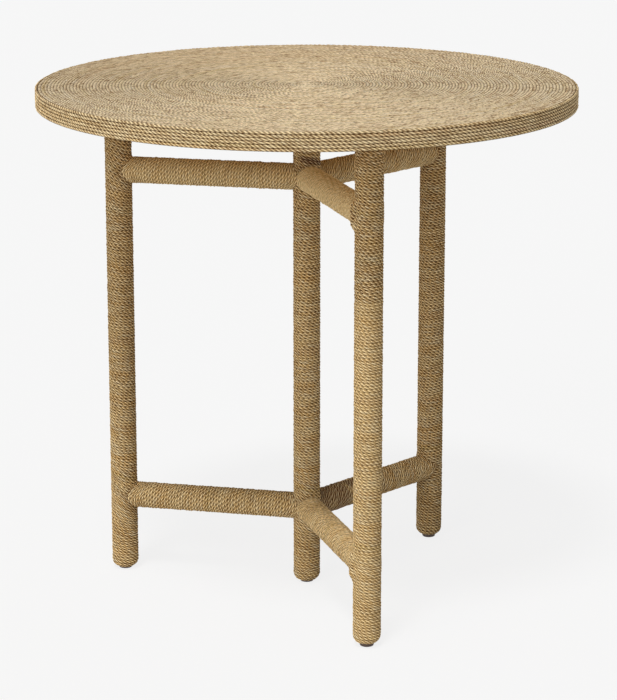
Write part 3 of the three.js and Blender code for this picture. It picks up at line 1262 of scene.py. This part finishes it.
    def strands(
        self, g: Graph, given: dict[str, Wire], along: Wire, strand: Wire
    ) -> bpy.types.NodeSocket:
        """Colour of each strand, which drifts along the cord and differs from its neighbours'.

        Args:
            g: The group's tree.
            given: Its inputs by name.
            along: Place along the cord, in strands.
            strand: Whole number of the strand.

        Returns:
            The colour.
        """
        drift = g.noise(g.vector(along / self.drift_strands, 0.0, 2.0), 1.0, 2.0)
        tint = g.noise(g.vector(along / self.tint_strands, 7.0, 5.0), 1.0, 2.0)
        old = g.dice(g.vector(strand, 3.0, 1.0)) - self.brown_start
        bright = g.dice(g.vector(strand, 8.0, 4.0)) - self.bright_start
        base = blended(g, drift.ramp(*self.drift_levels), given["Straw"], given["Pale"])
        base = blended(g, tint.ramp(*self.green_levels) * self.green_share, base, self.green)
        base = blended(g, tint.ramp(*self.rosy_levels) * self.rosy_share, base, self.rosy)
        speckle = given["Speckle"]
        base = blended(g, old.most(0.0) * self.brown_rise * speckle, base, self.brown)
        return blended(g, bright.most(0.0) * self.bright_rise * speckle, base, self.crest)


class WoodGrain(SharedPattern):
    """Grain of sanded wood, in two colours.

    Attributes:
        levels: Levels of the grain between which it goes from pale to dark.
        smoothest: Roughness of the palest grain.
        rise: How much rougher the darkest is.
    """

    name = "wood_grain"
    sockets = {"Place": "Vector", "Stretch": "Vector", "Pale": "Color", "Dark": "Color"}
    levels = (0.35, 0.7)
    smoothest = 0.55
    rise = 0.2

    def wired(self, g: Graph, given: dict[str, Wire]) -> dict[str, tuple[str, Any]]:
        """Wires the group.

        Args:
            g: The group's tree.
            given: Its inputs by name, with the grain's waves a metre along each axis.

        Returns:
            The wood's colour, its roughness and the height of its grain.
        """
        feeds = {"Vector": given["Place"], "Scale": given["Stretch"]}
        grain = g.noise(g.add("ShaderNodeMapping", feeds).outputs[0], 1.0, 4.0)
        shade = blended(g, grain.ramp(*self.levels), given["Pale"], given["Dark"])
        rough = grain * self.rise + self.smoothest
        surface = {"Roughness": ("Float", rough), "Height": ("Float", grain)}
        return {"Colour": ("Color", shade), **surface}


@dataclass(frozen=True)
class GrassCordFinish:
    """Twisted grass cord, in one of its uses on the table.

    Attributes:
        name: The material's name.
        cord: Sizes of the cord, for the pattern to follow.
        pattern: The pattern that all uses share.
        straw: Colour that the cord drifts from.
        pale: Colour that it drifts to.
        strand_gap_shade: How dark the painted shade in the gaps between strands is.
        row_gap_shade: How dark the painted shade in the gaps between rows is.
        speckle: How far single strands differ from the rest.
        roughness: Roughness of the grass.
        gloss: How much it reflects.
        relief: How strongly the pattern's height shows.
    """

    name: str
    cord: Cord
    pattern: CordPattern
    straw: tuple = colour(230, 181, 106)
    pale: tuple = colour(250, 215, 152)
    strand_gap_shade: float = 1.0
    row_gap_shade: float = 0.4
    speckle: float = 0.9
    roughness: float = 0.8
    gloss: float = 0.03
    relief: float = 0.7

    def attribute(self, graph: Graph, name: str) -> Wire:
        """A number that is kept with the mesh."""
        node = graph.add("ShaderNodeAttribute", attribute_name=name)
        return Wire(graph, node.outputs["Fac"])

    def build(self) -> bpy.types.Material:
        """Makes the material, with the pattern laid on the cord's own map.

        Returns:
            The material.
        """
        g, shader = new_material(self.name)
        cord = self.cord
        made = self.pattern.use(g, {
            "Place": g.add("ShaderNodeUVMap", uv_map=CORD_MAP).outputs[0],
            "Tone": self.attribute(g, TONE),
            "Stain": self.attribute(g, STAIN),
            "Straw": self.straw,
            "Pale": self.pale,
            "Half": cord.half,
            "Lean": cord.lean,
            "Bow": cord.bow,
            "Roundness": cord.roundness,
            "Groove Depth": cord.groove_depth,
            "Strand Gap": self.strand_gap_shade,
            "Row Gap": self.row_gap_shade,
            "Speckle": self.speckle,
        })
        g.feed(shader.inputs["Base Color"], made["Colour"])
        shader.inputs["Roughness"].default_value = self.roughness
        shader.inputs["Specular IOR Level"].default_value = self.gloss
        emboss(g, shader, made["Height"], self.relief, 1.0)
        return bpy.data.materials[self.name]


@dataclass(frozen=True)
class WoodFinish:
    """Plain sanded wood with its grain.

    Attributes:
        name: The material's name.
        grain: The grain that all woods share.
        pale: Colour of the wood.
        dark: Colour of its grain.
        stretch: Waves of the grain a metre along each axis.
        relief: How strongly the grain's height shows.
        depth: Depth of the grain.
    """

    name: str
    grain: WoodGrain
    pale: tuple
    dark: tuple
    stretch: tuple[float, float, float]
    relief: float = 0.3
    depth: float = 0.0003

    def build(self) -> bpy.types.Material:
        """Makes the material.

        Returns:
            The material.
        """
        g, shader = new_material(self.name)
        values = {"Stretch": self.stretch, "Pale": self.pale, "Dark": self.dark}
        made = self.grain.use(g, {"Place": local_place(g), **values})
        g.feed(shader.inputs["Base Color"], made["Colour"])
        g.feed(shader.inputs["Roughness"], made["Roughness"])
        emboss(g, shader, made["Height"], self.relief, self.depth)
        return bpy.data.materials[self.name]


@dataclass(frozen=True)
class GlideFinish:
    """Moulded glide, dulled in fine specks.

    Attributes:
        name: The material's name.
        body: Its colour.
        worn: Its colour where it is dulled.
        fineness: Specks a metre.
        levels: Levels of the specks between which they are dull.
        smoothest: Roughness between the specks.
        rise: How much rougher a speck is.
        relief: How strongly the specks' height shows.
        depth: Their depth.
    """

    name: str = "glide_brown"
    body: tuple = colour(74, 56, 46)
    worn: tuple = colour(104, 86, 74)
    fineness: float = 900.0
    levels: tuple[float, float] = (0.5, 0.75)
    smoothest: float = 0.35
    rise: float = 0.3
    relief: float = 0.2
    depth: float = 0.0001

    def build(self) -> bpy.types.Material:
        """Makes the material.

        Returns:
            The material.
        """
        g, shader = new_material(self.name)
        speckle = g.noise(local_place(g), self.fineness, 3.0)
        shade = blended(g, speckle.ramp(*self.levels), self.body, self.worn)
        g.feed(shader.inputs["Base Color"], shade)
        g.feed(shader.inputs["Roughness"], speckle * self.rise + self.smoothest)
        emboss(g, shader, speckle, self.relief, self.depth)
        return bpy.data.materials[self.name]


@dataclass(frozen=True)
class SteelFinish:
    """Zinc-plated steel of the screws.

    Attributes:
        name: The material's name.
        body: Its colour.
        fineness: Specks a metre in its roughness.
        smoothest: Roughness between the specks.
        rise: How much rougher a speck is.
    """

    name: str = "screw_steel"
    body: tuple = colour(188, 186, 176)
    fineness: float = 1400.0
    smoothest: float = 0.25
    rise: float = 0.25

    def build(self) -> bpy.types.Material:
        """Makes the material.

        Returns:
            The material.
        """
        g, shader = new_material(self.name)
        speckle = g.noise(local_place(g), self.fineness, 2.0)
        shader.inputs["Base Color"].default_value = self.body
        shader.inputs["Metallic"].default_value = 1.0
        g.feed(shader.inputs["Roughness"], speckle * self.rise + self.smoothest)
        return bpy.data.materials[self.name]


# Sub-assemblies


def settle(piece: bpy.types.Object, slot: Slot, *nodes: str) -> None:
    """Makes a piece part of the table, in place of the nodes that it stands for.

    Args:
        piece: The piece.
        slot: Its material slot, which is not used.
        nodes: Names of the nodes.
    """
    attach(piece, BODY)
    if nodes:
        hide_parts(*nodes)
    triangles = sum(len(face.vertices) - 2 for face in piece.data.polygons)
    LOG.info("%s: %d triangles", piece.name, triangles)


def column_count(radius: float, step: float) -> int:
    """Columns round a core, one for each step of its circumference."""
    return math.ceil(2 * math.pi * radius / step)


@dataclass(frozen=True)
class Lay:
    """How the cord lies on one dowel, and its two lengths.

    Attributes:
        tone: How pale the first length is, or how brown where it is under zero; on a rail the
            paleness is painted light.
        splice: Distance along the dowel at which the second one takes over.
        next_tone: How pale that one is.
        slope: Slope of the turns all along the dowel.
        tilt: Slope that is added at its joints.
    """

    tone: float = 0.0
    splice: float = 9.0
    next_tone: float = 0.0
    slope: float = 0.0
    tilt: float = 0.0


# Lays of the dowels that aren't wound evenly and in one tone
LAYS = {
    "centre_post_winding": Lay(tone=0.04, splice=0.46, slope=-0.04, tilt=0.35),
    "front_leg_winding": Lay(tone=0.3, splice=0.49, next_tone=-0.06),
    "left_leg_winding": Lay(tone=-0.04, splice=0.277, next_tone=-0.08, slope=0.09, tilt=0.4),
    "right_leg_winding": Lay(tone=-0.06, splice=0.49, next_tone=-0.08, slope=-0.1),
    # Painted light: the rails are paled where light reaches in under the top.
    "upper_stretcher_front_winding": Lay(tone=0.8),
    "upper_stretcher_left_winding": Lay(tone=0.45),
    "upper_stretcher_right_winding": Lay(tone=0.2),
    "lower_stretcher_front_winding": Lay(tone=0.32),
    "lower_stretcher_left_winding": Lay(tone=0.18),
}


@dataclass
class WoundFrame:
    """The centre post, three legs and six stretchers, all wound with cord.

    Attributes:
        pattern: The cord's pattern.
        step: Length of cord from one column of corners to the next.
        rows_per_turn: Rows of corners across one turn.
        foot_lift: Height of the lowest turn over the floor.
        worn_foot_lift: The same, where the turns have slid down over the glide.
        foot_rounding: Height of the rounding at the foot.
        foot_mouth: Radius of the hole that the rounding ends at.
        no_foot: Length left for a foot on a rail, which has none.
        start_share: Distance from the centre post's axis to a rail's first turn, over its radius.
        end_share: Distance from a leg's axis to a rail's last turn, over its radius.
        cope_share: Radius that a rail's last turns follow round a post, over the post's own.
        strands_per_turn: Strands that cross the cord in one turn round a dowel.
        tilt_side: Angle of the side where sloping turns run down to the right.
        bulge: Thickness of the cord that ties a rail to its leg.
        slight_bulge: The same where the ties are thin.
        bulge_reach: Half of the height over which it is tied.
        patch_stain: How dark the patch on the centre post is.
        patch_turn: Turn of that patch from the front rail.
        patch_rise: Its height over the upper rails' middle.
        patch_reach: Half of its height.
        dark_stain: How dark the soaked rail is.
        dark_reach: How far that goes along the soaked rail.
        soaked_rail: Level and leg of the rail that was wound with a length of soaked cord.
        worn_posts: Posts whose turns have slid down.
        tied_post: The post with the thickest ties.
        lays: How the cord lies on each piece that isn't wound evenly and in one tone.
        centre_seed: Start of the centre post's random numbers.
        leg_seeds: The same for the first leg, and the step to the next leg.
        rail_seeds: For the first rail, and the steps to the next level and the next leg.
        cord: The cord of the frame.
    """

    pattern: CordPattern
    step: float = 0.0014
    rows_per_turn: int = 5
    foot_lift: float = 0.0045
    worn_foot_lift: float = 0.0025
    foot_rounding: float = 0.012
    foot_mouth: float = 0.0103
    no_foot: float = 0.001
    start_share: float = 0.72
    end_share: float = 0.45
    cope_share: float = 1.1
    strands_per_turn: float = 17.12
    tilt_side: float = math.radians(-107)
    bulge: float = 0.006
    slight_bulge: float = 0.0012
    bulge_reach: float = 0.024
    patch_stain: float = 0.75
    patch_turn: float = math.radians(30)
    patch_rise: float = 0.0275
    patch_reach: float = 0.0058
    dark_stain: float = 0.6
    dark_reach: float = 0.16
    soaked_rail: tuple[str, str] = ("lower", "right")
    worn_posts: tuple[str, ...] = ("centre_post", "left_leg")
    tied_post: str = "front_leg"
    lays: dict[str, Lay] = field(default_factory=lambda: dict(LAYS))
    centre_seed: float = 10.0
    leg_seeds: tuple[float, float] = (17.3, 7.3)
    rail_seeds: tuple[float, float, float] = (60.0, 31.0, 5.7)
    cord: Cord = Cord(
        width=0.0048,
        pitch=0.00425,
        strand_length=0.0075,
        slant=1.55,
        roundness=0.85,
        order=TurnOrder.UPWARDS,
    )

    def __post_init__(self) -> None:
        """Reads the dowels' sizes from the frame."""
        low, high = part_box("centre_post_winding")
        self.outer_radius = (high.x - low.x) / 2
        self.top = high.z
        self.radius = self.outer_radius - self.cord.half
        leg_low, leg_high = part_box("front_leg_winding")
        self.leg_circle = -(leg_low.y + leg_high.y) / 2
        self.levels = [self.level(name) for name in STRETCHER_LEVELS]
        self.post_winding = SleeveWinding(self.cord)
        self.rail_winding = SleeveWinding(self.cord, slack=0.6, strand_slack=0.6)
        self.material = GrassCordFinish("frame_cord", self.cord, self.pattern).build()

    def level(self, name: str) -> float:
        """Height of one set of rails."""
        low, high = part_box(f"{name}_stretcher_front_winding")
        return (low.z + high.z) / 2

    def common(self, node: str, seed: float, length: float) -> dict[str, Any]:
        """Inputs that every wound dowel shares.

        Args:
            node: Name of the winding.
            seed: Start of its random numbers.
            length: Length of the dowel's profile.

        Returns:
            The inputs by name, with zero for those that only some dowels need.
        """
        turns = math.ceil(length / self.cord.pitch) + 1
        lay = self.lays.get(node, Lay())
        return dict.fromkeys(SLEEVE_INPUTS, 0.0) | {
            "Columns": column_count(self.outer_radius, self.step),
            "Rows": turns * self.rows_per_turn,
            "Rows per Turn": self.rows_per_turn,
            "First Turn": 0.0,
            "Length": length,
            "Seed": seed,
            "Tone": lay.tone,
            "Splice": lay.splice / self.cord.pitch,
            "Next Tone": lay.next_tone,
            "Slope": lay.slope,
            "Tilt": lay.tilt,
            "Tilt Angle": self.tilt_side,
            "Material": self.material,
            "Radius": self.radius,
            "Strands per Turn": self.strands_per_turn,
            "Stain Reach": self.patch_reach,
            "Bulge Reach": self.bulge_reach,
        }

    def post(self, name: str, seed: float, rails: int, rail_angle: float) -> None:
        """Winds one upright.

        Args:
            name: The upright's name.
            seed: Start of its random numbers.
            rails: Rails that meet it on each level.
            rail_angle: Angle of the first of them.
        """
        node = f"{name}_winding"
        low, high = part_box(node)
        lift = self.worn_foot_lift if name in self.worn_posts else self.foot_lift
        centre = lift + self.foot_rounding
        foot_height = self.foot_rounding - self.cord.half
        arc = math.pi / 2 * (foot_height + self.radius - self.foot_mouth) / 2
        length = self.top - centre + arc
        values = self.common(node, seed, length) | {
            "Stain": self.patch_stain if rails > 1 else 0.0,
            "Stain Angle": rail_angle + self.patch_turn,
            "Stain Level": self.levels[1] + self.patch_rise,
            "Foot Arc": arc,
            "Foot Mouth": self.foot_mouth,
            "Foot Height": foot_height,
            "Foot Centre": centre,
            "Reach": length,
            "Rails": float(rails),
            "Rail Angle": rail_angle,
            "Rail Low": self.levels[0],
            "Rail High": self.levels[1],
            "Bulge": self.bulge if name == self.tied_post else self.slight_bulge,
        }
        middle = (low + high) / 2
        place = Matrix.Translation((middle.x, middle.y, 0.0))
        settle(self.post_winding.make(node, values, place), Slot.CORD, node)

    def heading(self, leg: str) -> float:
        """Direction from the centre post to a leg.

        Args:
            leg: The leg's name.

        Returns:
            Its angle round the table, from +X.
        """
        low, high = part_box(f"{leg}_leg_winding")
        outward = (low + high) / 2
        return math.atan2(outward.y, outward.x)

    def stretcher(self, number: int, leg: str, seed: float) -> None:
        """Winds one rail, coped to the posts and mitred to its neighbours.

        Args:
            number: Number of its level.
            leg: Name of the leg that it runs to.
            seed: Start of its random numbers.
        """
        node = f"{STRETCHER_LEVELS[number]}_stretcher_{leg}_winding"
        soaked = (STRETCHER_LEVELS[number], leg) == self.soaked_rail
        length = self.leg_circle - self.radius * self.end_share
        values = self.common(node, seed, length) | {
            "Stain": self.dark_stain if soaked else 0.0,
            "Stain Reach": self.dark_reach,
            "Foot Arc": self.no_foot,
            "Foot Mouth": self.radius,
            "Foot Centre": self.no_foot,
            "Start": self.radius * self.start_share,
            "Reach": self.leg_circle,
            "Cope Radius": self.radius * self.cope_share,
            "Mitre": 1 / math.tan(math.pi / len(LEG_NAMES)),
        }
        along = Matrix.Rotation(math.pi / 2, 4, "Y")
        turned = Matrix.Rotation(self.heading(leg), 4, "Z") @ along
        place = Matrix.Translation((0.0, 0.0, self.levels[number])) @ turned
        settle(self.rail_winding.make(node, values, place), Slot.CORD, node)

    def build(self) -> None:
        """Winds the whole frame."""
        self.post("centre_post", self.centre_seed, len(LEG_NAMES), self.heading("front"))
        first, step = self.leg_seeds
        for number, leg in enumerate(LEG_NAMES):
            self.post(f"{leg}_leg", first + step * number, 1, self.heading(leg) + math.pi)
        first, level_step, leg_step = self.rail_seeds
        for level in range(len(STRETCHER_LEVELS)):
            for number, leg in enumerate(LEG_NAMES):
                self.stretcher(level, leg, first + level_step * level + leg_step * number)


@dataclass(frozen=True)
class Ring:
    """Turns of the top that are one piece.

    Attributes:
        name: The piece's name.
        first: Turn that it starts at.
        last: Turn that it ends at, which is the next ring's first.
        node: Node of the frame that it stands for.
        rows_per_turn: Rows of corners across one turn.
    """

    name: str
    first: int
    last: int
    node: str
    rows_per_turn: int = 5


@dataclass
class WoundTop:
    """The disc's winding: one spiral over the top, over its edge and down its rim.

    Attributes:
        pattern: The cord's pattern.
        step: Length of cord from one column of corners to the next.
        cord: The cord of the top, round as on the rim.
        worn_roundness: Its roundness where it is flattened by use.
        worn_groove: The depth of its grooves there.
        edge_turn: Turns from the middle to the bend at the table's edge.
        rim_rows: Turns on the rim.
        rim_rows_per_turn: Rows of corners across one turn on the rim.
        seed: Start of its random numbers.
    """

    pattern: CordPattern
    step: float = 0.00145
    cord: Cord = Cord(
        width=0.0050,
        pitch=0.00445,
        strand_length=0.0071,
        slant=1.45,
        roundness=0.8,
        order=TurnOrder.DOWNWARDS,
    )
    worn_roundness: float = 0.4
    worn_groove: float = 0.22
    edge_turn: int = 85
    rim_rows: int = 6
    rim_rows_per_turn: int = 6
    seed: float = 0.0

    def __post_init__(self) -> None:
        """Reads the disc's sizes from the frame, and makes the two looks of its cord."""
        low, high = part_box("rim_winding")
        self.edge_radius = high.x - self.cord.half
        self.edge_height = high.z - self.cord.half
        worn = replace(self.cord, roundness=self.worn_roundness, groove_depth=self.worn_groove)
        self.top_winding = DiscWinding(worn, wander=0.0005, slack=0.2, lay_drift=4.0)
        self.rim_winding = DiscWinding(self.cord, wander=0.0008, slack=0.35, lay_drift=4.0)
        looks = {"straw": colour(249, 219, 176), "pale": colour(255, 239, 208)}
        looks |= {"strand_gap_shade": 0.5, "row_gap_shade": 0.5, "speckle": 1.2}
        self.top_material = GrassCordFinish("top_cord", worn, self.pattern, **looks).build()
        looks = {"straw": colour(235, 197, 136), "pale": colour(252, 226, 178)}
        looks |= {"strand_gap_shade": 0.9, "row_gap_shade": 0.6}
        rim = GrassCordFinish("rim_cord", self.cord, self.pattern, **looks)
        self.rim_material = rim.build()

    def rings(self) -> list[Ring]:
        """Divides the winding into pieces.

        Returns:
            The pieces, from the centre outwards.
        """
        inner = "top_winding_centre"
        outer = "top_winding"
        end = self.edge_turn + self.rim_rows
        return [
            Ring(inner, 0, 10, inner),
            Ring("top_winding_ring_2", 10, 22, inner),
            Ring("top_winding_ring_3", 22, 40, inner),
            Ring("top_winding_ring_4", 40, 54, inner),
            Ring("top_winding_ring_5", 54, 65, inner),
            Ring("top_winding_ring_6", 65, 75, outer),
            Ring("top_winding_ring_7", 75, self.edge_turn, outer),
            Ring("rim_winding", self.edge_turn, end, "rim_winding", self.rim_rows_per_turn),
        ]

    def wind(self, ring: Ring) -> None:
        """Winds one ring.

        Args:
            ring: The ring.
        """
        radius = min(self.edge_radius, ring.last * self.cord.pitch)
        on_rim = ring.first >= self.edge_turn
        values = {
            "Columns": column_count(radius, self.step),
            "Rows": (ring.last - ring.first + 1) * ring.rows_per_turn,
            "Rows per Turn": ring.rows_per_turn,
            "First Turn": float(ring.first),
            "Last Turn": float(ring.last),
            "Bend Turn": self.edge_turn + 0.5 if on_rim else float(ring.first),
            "Seed": self.seed,
            "Tone": 0.0,
            "Material": self.rim_material if on_rim else self.top_material,
            "Edge Radius": self.edge_radius,
            "Edge Height": self.edge_height,
            "Edge Turn": self.edge_turn + 0.5,
            "Rim Turns": float(self.rim_rows),
        }
        winding = self.rim_winding if on_rim else self.top_winding
        piece = winding.make(ring.name, values, Matrix.Identity(4))
        settle(piece, Slot.CORD, ring.node)

    def build(self) -> None:
        """Winds the whole top."""
        for ring in self.rings():
            self.wind(ring)


@dataclass
class Hardware:
    """The wood and metal that the cord hides, and the glides.

    Attributes:
        dowel_wood: Colours of the dowels and of their grain, and its waves a metre.
        panel_wood: The same for the disc.
    """

    dowel_wood: tuple = (colour(214, 184, 138), colour(176, 138, 92), (60, 60, 6))
    panel_wood: tuple = (colour(206, 172, 124), colour(172, 134, 88), (8, 90, 90))

    def dress(self, names: list[str], material: bpy.types.Material) -> None:
        """Gives nodes of the frame a material.

        Args:
            names: Names of the nodes.
            material: The material.
        """
        for name in names:
            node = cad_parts[name]
            node.data.materials.clear()
            node.data.materials.append(material)
            LOG.info("%s: dressed", name)

    def build(self) -> None:
        """Dresses what stays of the frame."""
        posts = ["centre_post", *(f"{leg}_leg" for leg in LEG_NAMES)]
        rails = [f"{level}_stretcher_{leg}" for level in STRETCHER_LEVELS for leg in LEG_NAMES]
        ends = ("centre", *LEG_NAMES)
        grain = WoodGrain()
        dowel = WoodFinish("dowel_wood", grain, *self.dowel_wood)
        self.dress([*posts, *rails], dowel.build())
        panel = WoodFinish("panel_wood", grain, *self.panel_wood)
        self.dress(["top_panel"], panel.build())
        self.dress([f"{end}_glide" for end in ends], GlideFinish().build())
        self.dress([f"top_screw_{end}" for end in ends], SteelFinish().build())


# Studio


@dataclass(frozen=True)
class Sun:
    """A lamp with parallel light.

    Attributes:
        name: The lamp's name.
        strength: Its power.
        spread: Angle that it fills, in degrees.
        azimuth: Where it stands round the table, in degrees from +X.
        height: How high it stands over the floor, in degrees.
    """

    name: str
    strength: float
    spread: float
    azimuth: float
    height: float


@dataclass
class Studio:
    """Pale floor, soft light and the camera.

    Attributes:
        camera_place: Where the camera stands.
        camera_heading: Compass turn of its view from +Y towards +X, in degrees.
        camera_pitch: How far it looks down, in degrees.
        lens: Focal length in millimetres.
        sensor: Size of the picture's long side on the sensor, in millimetres.
        background: Colour behind the floor.
        floor_size: Length of the floor's sides.
        floor_grey: How pale the floor is where light falls on it.
        floor_glow: How pale it shines of itself.
        glow_share: How far the shine takes the place of the light.
        sky: Strength of the light from all round.
        suns: The lamps.
    """

    camera_place: tuple[float, float, float] = (-1.1221, -3.6036, 1.3475)
    camera_heading: float = 17.332
    camera_pitch: float = 14.795
    lens: float = 139.4
    sensor: float = 36.0
    background: tuple = colour(246, 246, 246)
    floor_size: float = 60.0
    floor_grey: float = 0.8
    floor_glow: float = 0.97
    glow_share: float = 0.85
    sky: float = 0.34
    suns: tuple[Sun, ...] = (
        Sun("key", 1.3, 12.0, -127.0, 65.0),
        Sun("side", 1.2, 40.0, -142.0, 20.0),
    )

    def camera(self) -> None:
        """Sets up the camera."""
        data = bpy.data.cameras.new("camera")
        data.lens = self.lens
        data.sensor_width = self.sensor
        data.clip_end = 200.0
        camera = bpy.data.objects.new("camera", data)
        bpy.context.scene.collection.objects.link(camera)
        camera.location = self.camera_place
        tilt = math.radians(90 - self.camera_pitch)
        camera.rotation_euler = Euler((tilt, 0.0, -math.radians(self.camera_heading)))
        bpy.context.scene.camera = camera

    def seen(self, graph: Graph) -> Wire:
        """Tells the rays that show the background from those that light the table.

        Args:
            graph: Tree of a material or of the world.

        Returns:
            One for rays from the camera, in gloss or through glass, and otherwise zero.
        """
        path = graph.add("ShaderNodeLightPath")
        names = ("Is Camera Ray", "Is Glossy Ray", "Is Transmission Ray")
        rays = [Wire(graph, path.outputs[name]) for name in names]
        return rays[0].most(rays[1]).most(rays[2])

    def floor(self) -> None:
        """Lays the floor."""
        half = self.floor_size / 2
        corners = [(-half, -half, 0), (half, -half, 0), (half, half, 0), (-half, half, 0)]
        mesh = bpy.data.meshes.new("floor")
        mesh.from_pydata(corners, [], [(0, 1, 2, 3)])
        floor = bpy.data.objects.new("floor", mesh)
        bpy.context.scene.collection.objects.link(floor)
        material = bpy.data.materials.new("floor_white")
        material.use_nodes = True
        g = Graph(material.node_tree)
        material.node_tree.nodes.clear()
        grey, glow = (self.floor_grey,) * 3, (self.floor_glow,) * 3
        lit = g.add("ShaderNodeBsdfDiffuse", {"Color": (*grey, 1.0)})
        glow = g.add("ShaderNodeEmission", {"Color": (*glow, 1.0)})
        share = self.seen(g) * self.glow_share
        mixed = g.add("ShaderNodeMixShader", {0: share, 1: lit.outputs[0], 2: glow.outputs[0]})
        g.add("ShaderNodeOutputMaterial", {"Surface": mixed.outputs[0]})
        mesh.materials.append(material)

    def world(self) -> None:
        """Sets the light from all round, and the background where it is seen."""
        world = bpy.data.worlds.new("studio")
        world.use_nodes = True
        bpy.context.scene.world = world
        g = Graph(world.node_tree)
        world.node_tree.nodes.clear()
        soft = g.add("ShaderNodeBackground", {"Color": (1, 1, 1, 1), "Strength": self.sky})
        white = g.add("ShaderNodeBackground", {"Color": self.background, "Strength": 1.0})
        feeds = {0: self.seen(g), 1: soft.outputs[0], 2: white.outputs[0]}
        mixed = g.add("ShaderNodeMixShader", feeds)
        g.add("ShaderNodeOutputWorld", {"Surface": mixed.outputs[0]})

    def light(self, sun: Sun) -> None:
        """Adds a lamp.

        Args:
            sun: The lamp.
        """
        data = bpy.data.lights.new(sun.name, "SUN")
        data.energy = sun.strength
        data.angle = math.radians(sun.spread)
        lamp = bpy.data.objects.new(sun.name, data)
        bpy.context.scene.collection.objects.link(lamp)
        tilt, turn = math.radians(90 - sun.height), math.radians(sun.azimuth)
        lamp.rotation_euler = Euler((0.0, tilt, turn))

    def build(self) -> None:
        """Sets up the whole studio."""
        bpy.context.scene.view_settings.view_transform = "Standard"
        self.camera()
        self.floor()
        self.world()
        for sun in self.suns:
            self.light(sun)


def main() -> None:
    """Builds the table and its studio."""
    logging.basicConfig(level=logging.INFO, format="%(name)s: %(message)s")
    Studio().build()
    pattern = CordPattern()
    WoundTop(pattern).build()
    WoundFrame(pattern).build()
    Hardware().build()


if __name__ == "__main__":
    main()
